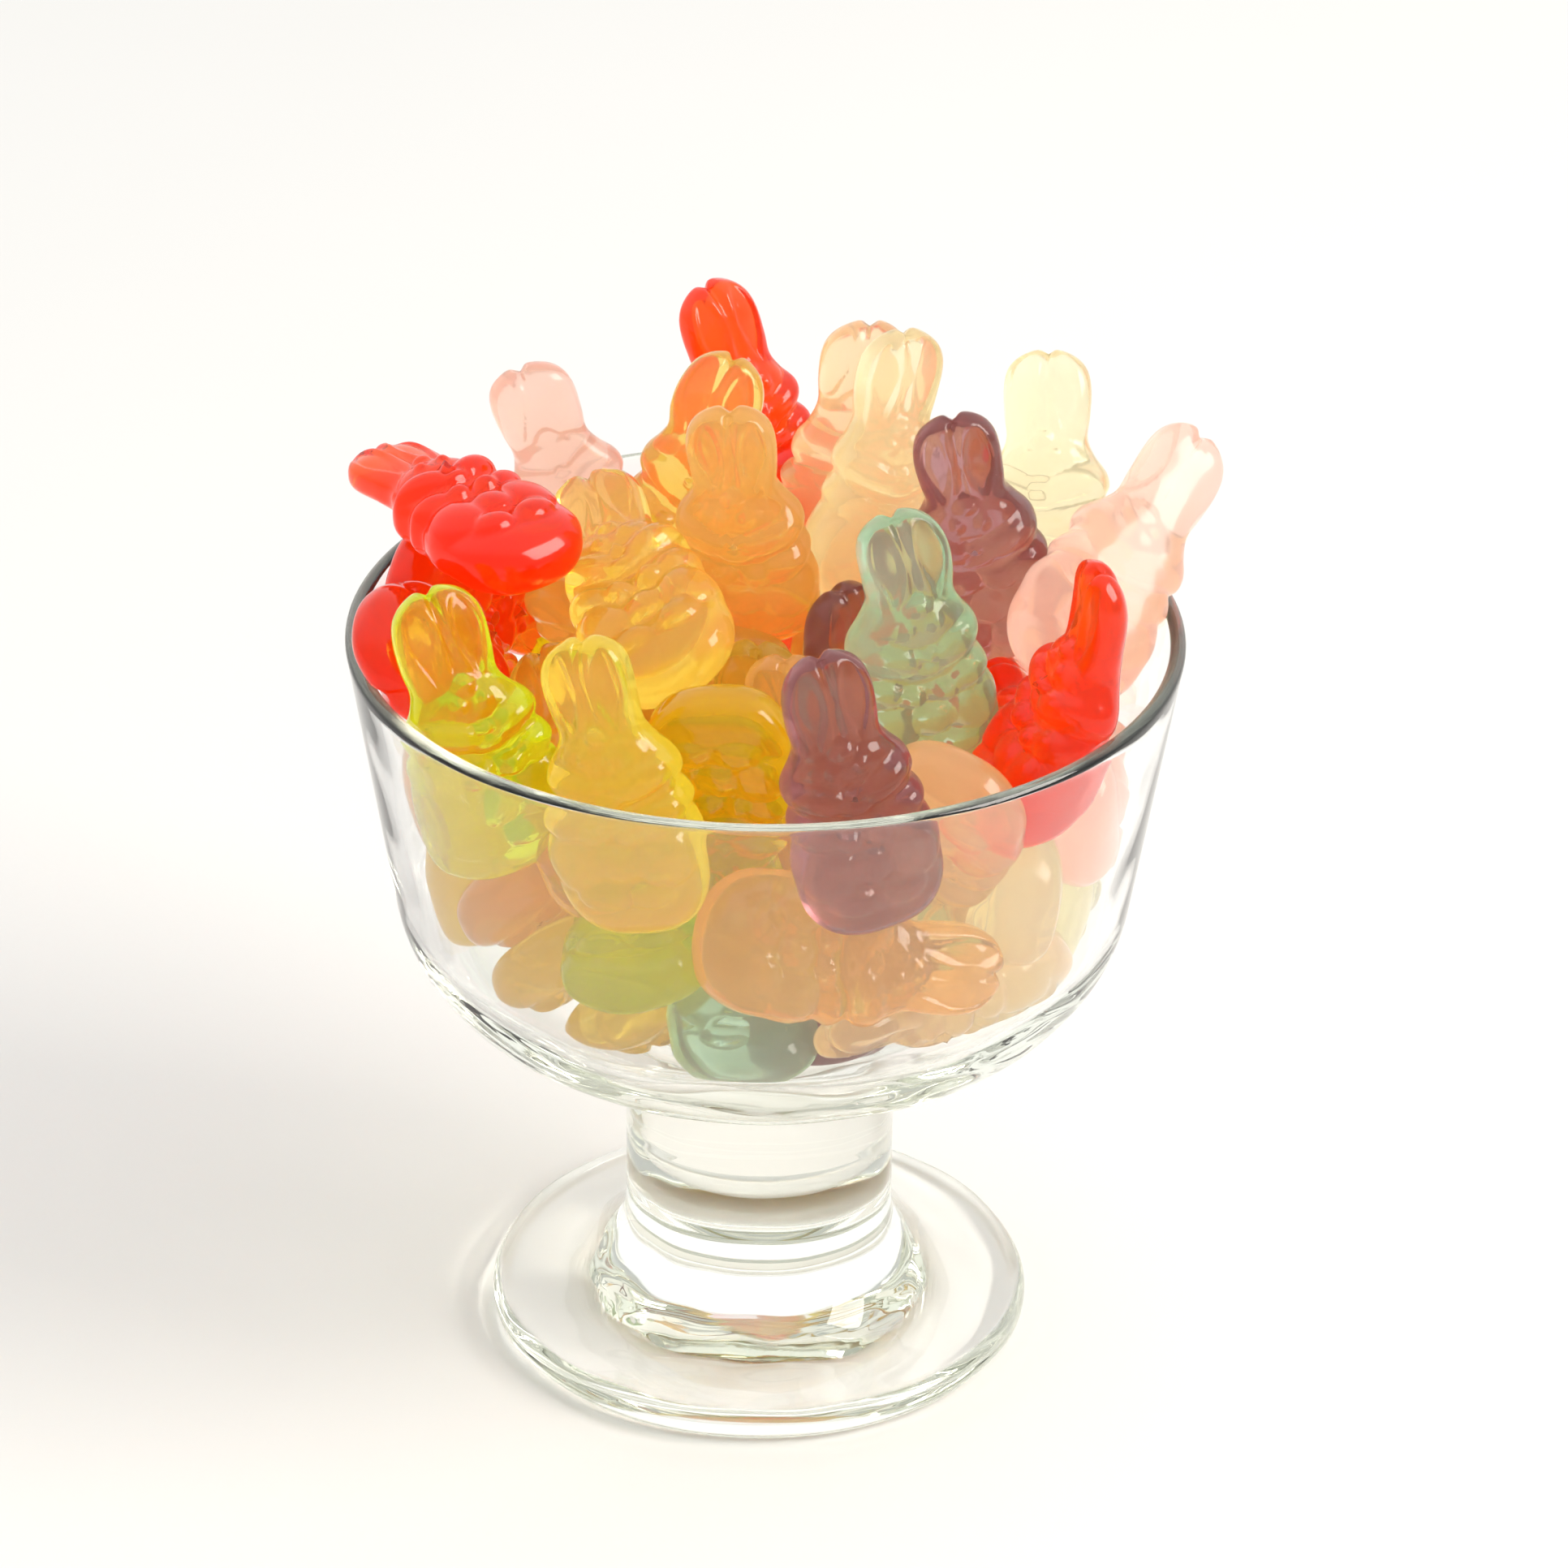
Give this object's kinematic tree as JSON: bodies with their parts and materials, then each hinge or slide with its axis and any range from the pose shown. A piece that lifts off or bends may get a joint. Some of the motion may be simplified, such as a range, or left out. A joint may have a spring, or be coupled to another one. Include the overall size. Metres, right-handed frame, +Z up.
{
  "type": "footed glass bowl of gummy bunnies",
  "caption": "Thick clear footed dessert glass, a deep round cup on a short solid stem and disc foot, heaped over the rim with translucent gummy bunnies.",
  "frame": {"origin": "middle of the foot's flat underside, on the axis that the glass is turned about", "axes": "+Z up out of the cup, -Y towards the viewer of the picture, +X to that viewer's right"},
  "size_m": [0.1104, 0.104, 0.1318],
  "materials": {
    "glass_bowl": "clear thick pressed glass",
    "gummy_heap": "translucent gummy, lightly frosted, in about ten colours"
  },
  "bodies": {
    "root": {"glass_bowl": "glass_bowl", "gummy_heap": "gummy_heap"}
  },
  "joints": []
}
